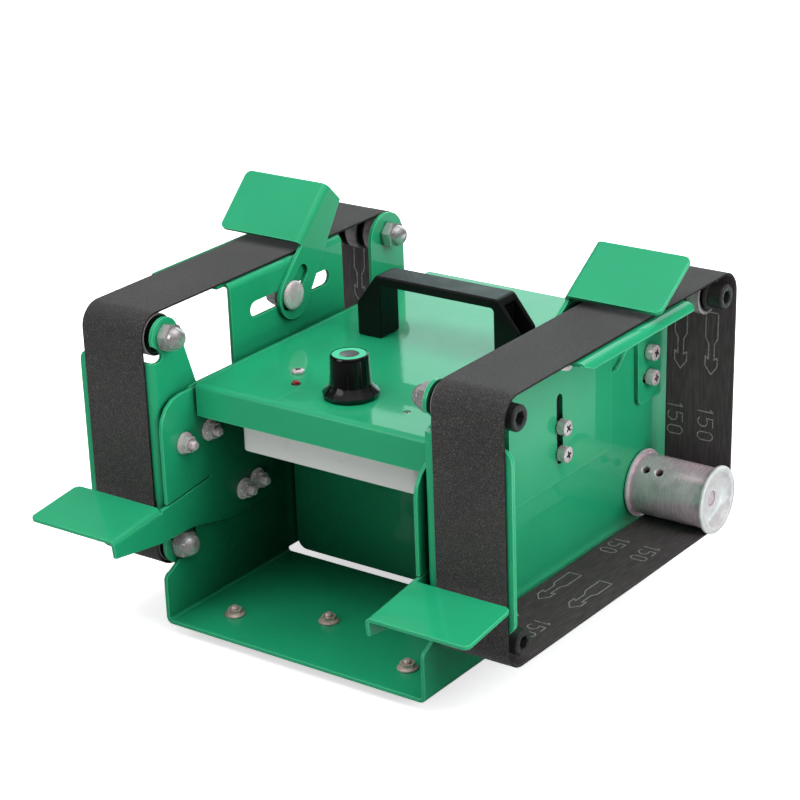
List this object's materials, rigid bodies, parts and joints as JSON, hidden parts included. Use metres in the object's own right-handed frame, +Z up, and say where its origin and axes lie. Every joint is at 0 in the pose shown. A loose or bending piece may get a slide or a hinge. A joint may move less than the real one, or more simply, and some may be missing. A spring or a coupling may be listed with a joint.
{
  "type": "belt sander",
  "caption": "Bench belt sander: a folded green base carries an upright sanding-belt head on each side, driven by one shaft, with work rests, a speed knob and a carry handle.",
  "frame": {"origin": "on the floor under the middle of the bounding box", "axes": "+X towards the right-hand sanding head seen from the front, +Y to the rear, +Z up"},
  "size_m": [0.275, 0.2766, 0.2037],
  "materials": {
    "green_paint": "glossy powder coat",
    "abrasive_belt": "fine black grit on cloth",
    "turned_aluminium": "turned",
    "motor_steel": "satin",
    "black_bolt_steel": "black oxide",
    "bearing_steel": "ground",
    "polished_steel": "polished",
    "plated_steel": "zinc plated",
    "black_plastic": "satin",
    "black_gloss_plastic": "gloss",
    "grey_plastic": "satin",
    "lamp_plastic": "clear red",
    "foot_rubber": "matt"
  },
  "bodies": {
    "frame": {"base_channel": "green_paint", "bulkhead": "green_paint", "motor_cradle": "green_paint", "motor_body": "motor_steel", "top_cover": "green_paint", "controller_box": "bearing_steel", "potentiometer": "plated_steel", "power_led": "lamp_plastic", "carry_handle": "black_plastic", "power_jack": "black_gloss_plastic", "foot_front_left": "foot_rubber", "foot_front_right": "foot_rubber", "foot_rear_left": "foot_rubber", "foot_rear_right": "foot_rubber", "head_plate_left": "green_paint", "rest_plate_left": "green_paint", "sanding_belt_left": "abrasive_belt", "front_top_axle_bolt_left": "black_bolt_steel", "front_top_acorn_nut_left": "polished_steel", "front_bottom_axle_bolt_left": "black_bolt_steel", "front_bottom_acorn_nut_left": "polished_steel", "platen_screw_1_left": "plated_steel", "platen_screw_2_left": "plated_steel", "arm_pivot_screw_left": "plated_steel", "arm_clamp_screw_left": "plated_steel", "head_plate_right": "green_paint", "rest_plate_right": "green_paint", "sanding_belt_right": "abrasive_belt", "front_top_axle_bolt_right": "black_bolt_steel", "front_top_acorn_nut_right": "polished_steel", "front_bottom_axle_bolt_right": "black_bolt_steel", "front_bottom_acorn_nut_right": "polished_steel", "platen_screw_1_right": "plated_steel", "platen_screw_2_right": "plated_steel", "arm_pivot_screw_right": "plated_steel", "arm_clamp_screw_right": "plated_steel"},
    "rotor": {"motor_shaft": "plated_steel", "drive_wheel_left": "turned_aluminium", "drive_wheel_right": "turned_aluminium"},
    "knob": {"speed_knob": "black_gloss_plastic"},
    "top_platen_left": {"top_platen_left": "green_paint"},
    "rest_nut_left": {"rest_clamp_nut_left": "plated_steel"},
    "rest_bolt_left": {"rest_carriage_bolt_left": "plated_steel"},
    "top_rest_left": {"top_rest_left": "green_paint"},
    "tension_arm_left": {"tension_arm_left": "green_paint", "rear_axle_bolt_left": "black_bolt_steel", "rear_acorn_nut_left": "polished_steel"},
    "front_top_roller_left": {"front_top_roller_left": "bearing_steel"},
    "front_bottom_roller_left": {"front_bottom_roller_left": "bearing_steel"},
    "rear_roller_left": {"rear_roller_left": "bearing_steel"},
    "top_platen_right": {"top_platen_right": "green_paint"},
    "rest_nut_right": {"rest_clamp_nut_right": "plated_steel"},
    "rest_bolt_right": {"rest_carriage_bolt_right": "plated_steel"},
    "top_rest_right": {"top_rest_right": "green_paint"},
    "tension_arm_right": {"tension_arm_right": "green_paint", "rear_axle_bolt_right": "black_bolt_steel", "rear_acorn_nut_right": "polished_steel"},
    "front_top_roller_right": {"front_top_roller_right": "bearing_steel"},
    "front_bottom_roller_right": {"front_bottom_roller_right": "bearing_steel"},
    "rear_roller_right": {"rear_roller_right": "bearing_steel"}
  },
  "joints": [
    {"name": "drive_spin", "type": "hinge", "parent": "frame", "child": "rotor", "pos_m": [0, 0.10001, 0.0496], "axis": [1, 0, 0], "continuous": true},
    {"name": "speed_knob_turn", "type": "hinge", "parent": "frame", "child": "knob", "pos_m": [0.003, -0.04449, 0.1316], "axis": [0, 0, 1], "range_deg": [-280, 0]},
    {"name": "top_platen_left_height", "type": "slide", "parent": "frame", "child": "top_platen_left", "axis": [0, 0, 1], "range_m": [-0.0015, 0]},
    {"name": "top_rest_left_along", "type": "slide", "parent": "top_platen_left", "child": "rest_nut_left", "axis": [0, 1, 0], "range_m": [-0.0278, 0.0318]},
    {"name": "top_rest_left_tilt", "type": "hinge", "parent": "rest_nut_left", "child": "rest_bolt_left", "pos_m": [-0.084, 0.01801, 0.151], "axis": [1, 0, 0], "range_deg": [-6, 40]},
    {"name": "top_rest_left_reach", "type": "slide", "parent": "rest_bolt_left", "child": "top_rest_left", "axis": [0, 0.7169, 0.6972], "range_m": [-0.002, 0.004]},
    {"name": "tension_arm_left_swing", "type": "hinge", "parent": "frame", "child": "tension_arm_left", "pos_m": [-0.086, 0.10301, 0.1237], "axis": [1, 0, 0], "range_deg": [0, 3]},
    {"name": "front_top_roller_left_spin", "type": "hinge", "parent": "frame", "child": "front_top_roller_left", "pos_m": [-0.1, -0.08399, 0.1596], "axis": [1, 0, 0], "continuous": true},
    {"name": "front_bottom_roller_left_spin", "type": "hinge", "parent": "frame", "child": "front_bottom_roller_left", "pos_m": [-0.1, -0.08399, 0.046], "axis": [1, 0, 0], "continuous": true},
    {"name": "rear_roller_left_spin", "type": "hinge", "parent": "tension_arm_left", "child": "rear_roller_left", "pos_m": [-0.1, 0.10887, 0.1596], "axis": [1, 0, 0], "continuous": true},
    {"name": "top_platen_right_height", "type": "slide", "parent": "frame", "child": "top_platen_right", "axis": [0, 0, 1], "range_m": [-0.0015, 0]},
    {"name": "top_rest_right_along", "type": "slide", "parent": "top_platen_right", "child": "rest_nut_right", "axis": [0, 1, 0], "range_m": [-0.0223, 0.0373]},
    {"name": "top_rest_right_tilt", "type": "hinge", "parent": "rest_nut_right", "child": "rest_bolt_right", "pos_m": [0.084, 0.01251, 0.151], "axis": [1, 0, 0], "range_deg": [-2, 50]},
    {"name": "top_rest_right_reach", "type": "slide", "parent": "rest_bolt_right", "child": "top_rest_right", "axis": [0, 0.8434, 0.5373], "range_m": [-0.001, 0.002]},
    {"name": "tension_arm_right_swing", "type": "hinge", "parent": "frame", "child": "tension_arm_right", "pos_m": [0.086, 0.10301, 0.1237], "axis": [1, 0, 0], "range_deg": [0, 3]},
    {"name": "front_top_roller_right_spin", "type": "hinge", "parent": "frame", "child": "front_top_roller_right", "pos_m": [0.1, -0.08399, 0.1596], "axis": [1, 0, 0], "continuous": true},
    {"name": "front_bottom_roller_right_spin", "type": "hinge", "parent": "frame", "child": "front_bottom_roller_right", "pos_m": [0.1, -0.08399, 0.046], "axis": [1, 0, 0], "continuous": true},
    {"name": "rear_roller_right_spin", "type": "hinge", "parent": "tension_arm_right", "child": "rear_roller_right", "pos_m": [0.1, 0.10887, 0.1596], "axis": [1, 0, 0], "continuous": true}
  ],
  "couplings": [
    {"joint": "front_top_roller_left_spin", "follows": "drive_spin", "ratio": 1.4909},
    {"joint": "front_bottom_roller_left_spin", "follows": "drive_spin", "ratio": 1.4909},
    {"joint": "rear_roller_left_spin", "follows": "drive_spin", "ratio": 1.4909},
    {"joint": "front_top_roller_right_spin", "follows": "drive_spin", "ratio": 1.4909},
    {"joint": "front_bottom_roller_right_spin", "follows": "drive_spin", "ratio": 1.4909},
    {"joint": "rear_roller_right_spin", "follows": "drive_spin", "ratio": 1.4909}
  ]
}
